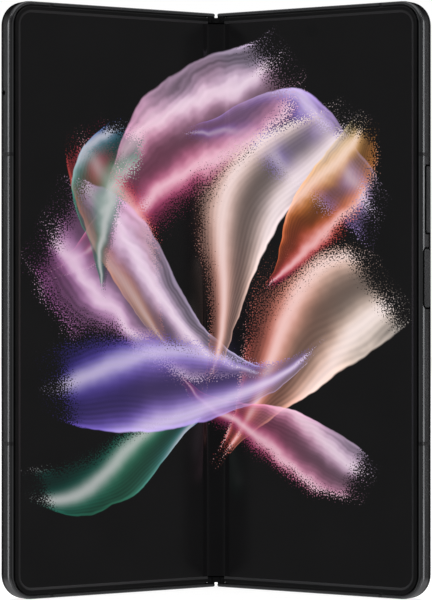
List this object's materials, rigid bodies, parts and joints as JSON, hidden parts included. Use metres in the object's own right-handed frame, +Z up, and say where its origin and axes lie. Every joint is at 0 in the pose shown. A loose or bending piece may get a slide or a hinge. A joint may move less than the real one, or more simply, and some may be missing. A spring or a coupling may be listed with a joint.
{
  "type": "foldable smartphone",
  "caption": "Book-style folding phone, half open, with an inner folding display, an outer cover display and a geared hinge.",
  "frame": {"origin": "middle of the footprint, on the surface that the device stands on", "axes": "+Z up along the fold line; the folding display faces -Y; the half with the keys is on +X"},
  "size_m": [0.1136, 0.0396, 0.1582],
  "materials": {
    "rail": "satin anodised, graphite",
    "bezel": "soft matt black",
    "display": "folding display under a protective film, switched on",
    "steel": "brushed",
    "spine": "satin anodised, graphite",
    "gear": "sintered",
    "black_glass": "polished, black behind",
    "back_glass": "satin etched, graphite behind",
    "camera_metal": "bead blasted",
    "lens": "coated",
    "module": "moulded",
    "flash": "diffusing",
    "board": "solder resist",
    "shield": "stamped",
    "battery": "pouch film",
    "copper": "wound wire",
    "flex": "polyimide film",
    "port": "drawn",
    "magnet": "nickel plated",
    "screw": "machined",
    "plastic": "moulded",
    "brush": "fibre pile",
    "key": "satin anodised"
  },
  "bodies": {
    "spine": {"spine_cover": "spine", "hinge_brackets": "steel", "center_plate": "steel", "crease_caps": "plastic", "hinge_screws": "screw", "disc_springs": "gear", "inner_display_fold": "display", "hinge_flex_cables": "flex"},
    "right_half": {"right_frame": "rail", "right_bezel": "bezel", "right_display_panel": "display", "right_backing_plate": "steel", "right_wing_plate": "steel", "right_hinge_arms": "steel", "right_brush_strip": "brush", "rear_glass": "back_glass", "camera_housing": "camera_metal", "camera_lens_rings": "camera_metal", "camera_lens_covers": "lens", "camera_modules": "module", "flash_window": "flash", "main_board": "board", "board_shields": "shield", "right_battery": "battery", "charging_coil": "copper", "bottom_speaker": "module", "usb_board": "board", "usb_port": "port", "vibration_motor": "shield", "key_switches": "copper", "under_display_camera": "module", "right_magnets": "magnet", "right_screws": "screw", "right_antenna_breaks": "plastic"},
    "left_half": {"left_frame": "rail", "left_bezel": "bezel", "left_display_panel": "display", "left_backing_plate": "steel", "left_wing_plate": "steel", "left_hinge_arms": "steel", "left_brush_strip": "brush", "cover_glass": "black_glass", "cover_display": "module", "selfie_camera": "module", "left_battery": "battery", "sub_board": "board", "top_speaker": "module", "sim_reader": "port", "left_magnets": "magnet", "left_screws": "screw", "left_antenna_breaks": "plastic"},
    "right_gear": {"right_pinion": "gear"},
    "right_idle_gear": {"right_idler": "gear"},
    "left_idle_gear": {"left_idler": "gear"},
    "left_gear": {"left_pinion": "gear"},
    "volume_button": {"volume_key": "key"},
    "power_button": {"power_key": "key"},
    "card_tray": {"sim_tray": "rail"}
  },
  "joints": [
    {"name": "right_fold", "type": "hinge", "parent": "spine", "child": "right_half", "pos_m": [0.0017, 0.01384, 0.0791], "axis": [0, 0, -1], "range_deg": [-32.7, 57.8], "deforming": ["inner_display_fold", "hinge_flex_cables"]},
    {"name": "left_fold", "type": "hinge", "parent": "spine", "child": "left_half", "pos_m": [-0.0017, 0.01384, 0.0791], "axis": [0, 0, 1], "range_deg": [-32.7, 57.8], "deforming": ["inner_display_fold", "hinge_flex_cables"]},
    {"name": "right_pinion_spin", "type": "hinge", "parent": "spine", "child": "right_gear", "pos_m": [0.00288, 0.01673, 0.0791], "axis": [0, 0, 1], "range_deg": [-74.08, 130.55]},
    {"name": "right_idler_spin", "type": "hinge", "parent": "spine", "child": "right_idle_gear", "pos_m": [0.00096, 0.01673, 0.0791], "axis": [0, 0, 1], "range_deg": [-130.55, 74.08]},
    {"name": "left_idler_spin", "type": "hinge", "parent": "spine", "child": "left_idle_gear", "pos_m": [-0.00096, 0.01673, 0.0791], "axis": [0, 0, 1], "range_deg": [-74.08, 130.55]},
    {"name": "left_pinion_spin", "type": "hinge", "parent": "spine", "child": "left_gear", "pos_m": [-0.00288, 0.01673, 0.0791], "axis": [0, 0, 1], "range_deg": [-130.55, 74.08]},
    {"name": "volume_press", "type": "slide", "parent": "right_half", "child": "volume_button", "axis": [-0.8415, 0.5402, 0], "range_m": [0, 0.00025], "stiffness_N_per_m": 3000},
    {"name": "power_press", "type": "slide", "parent": "right_half", "child": "power_button", "axis": [-0.8415, 0.5402, 0], "range_m": [0, 0.0002], "stiffness_N_per_m": 3000},
    {"name": "tray_slide", "type": "slide", "parent": "left_half", "child": "card_tray", "axis": [-0.8415, -0.5402, 0], "range_m": [0, 0.0138]}
  ],
  "couplings": [
    {"joint": "left_fold", "follows": "right_fold", "ratio": 1},
    {"joint": "right_pinion_spin", "follows": "right_fold", "ratio": 2.25},
    {"joint": "right_idler_spin", "follows": "right_fold", "ratio": -2.25},
    {"joint": "left_idler_spin", "follows": "right_fold", "ratio": 2.25},
    {"joint": "left_pinion_spin", "follows": "right_fold", "ratio": -2.25}
  ]
}
